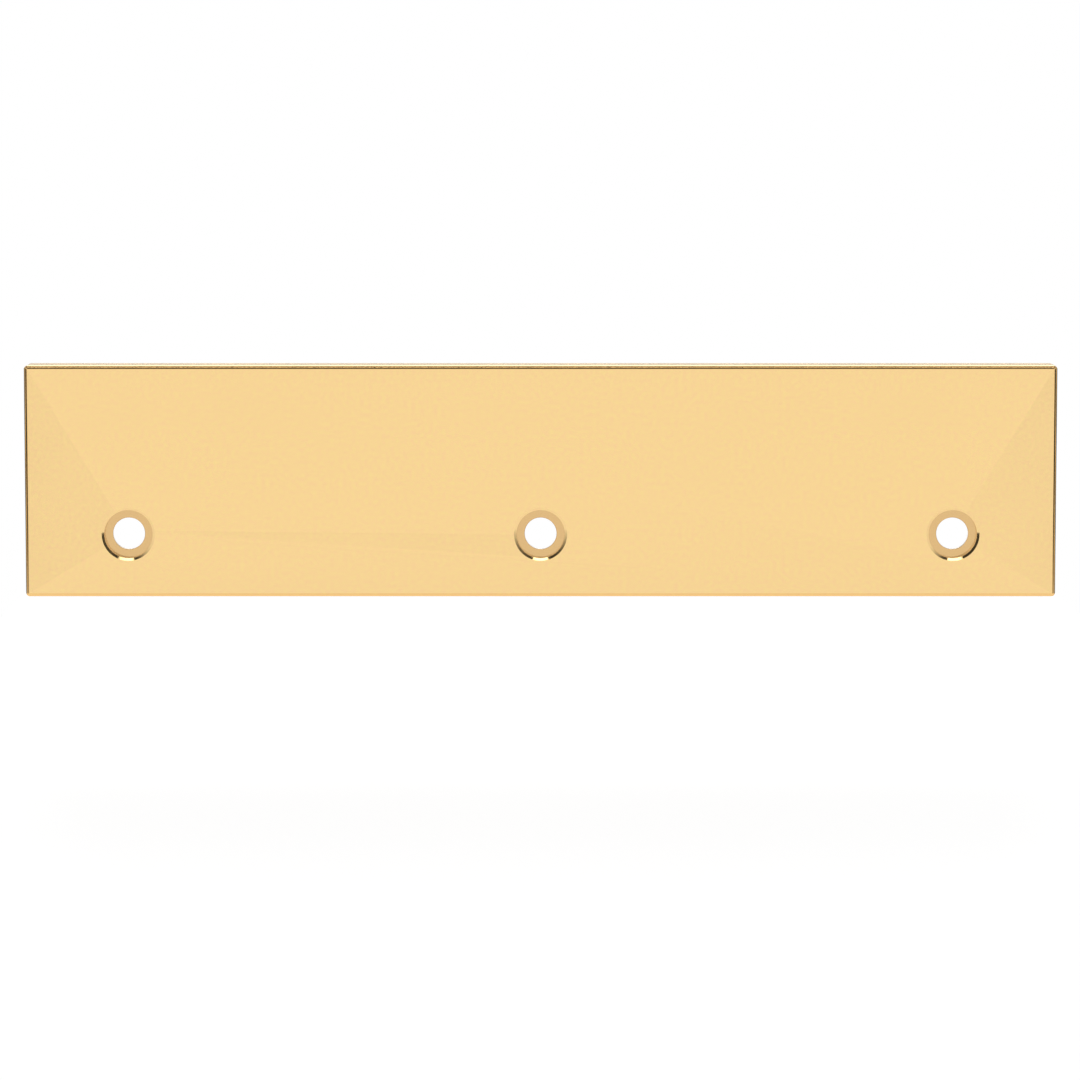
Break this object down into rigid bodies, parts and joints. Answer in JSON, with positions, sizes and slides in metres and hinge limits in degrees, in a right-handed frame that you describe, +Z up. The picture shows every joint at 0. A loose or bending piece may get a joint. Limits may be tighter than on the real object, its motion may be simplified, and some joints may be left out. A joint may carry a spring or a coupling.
{
  "type": "kick plate",
  "caption": "Long satin brass kick plate folded from one sheet, with a short return along its top edge and a row of flat-bottomed screw seats near its bottom edge",
  "frame": {"origin": "middle of the sheet's flat back face", "axes": "+X along the plate's length, +Y out of the back towards the door, +Z up towards the return"},
  "size_m": [0.2, 0.0075, 0.045],
  "materials": {
    "satin_brass": "satin"
  },
  "bodies": {
    "root": {"plate": "satin_brass"}
  },
  "joints": []
}
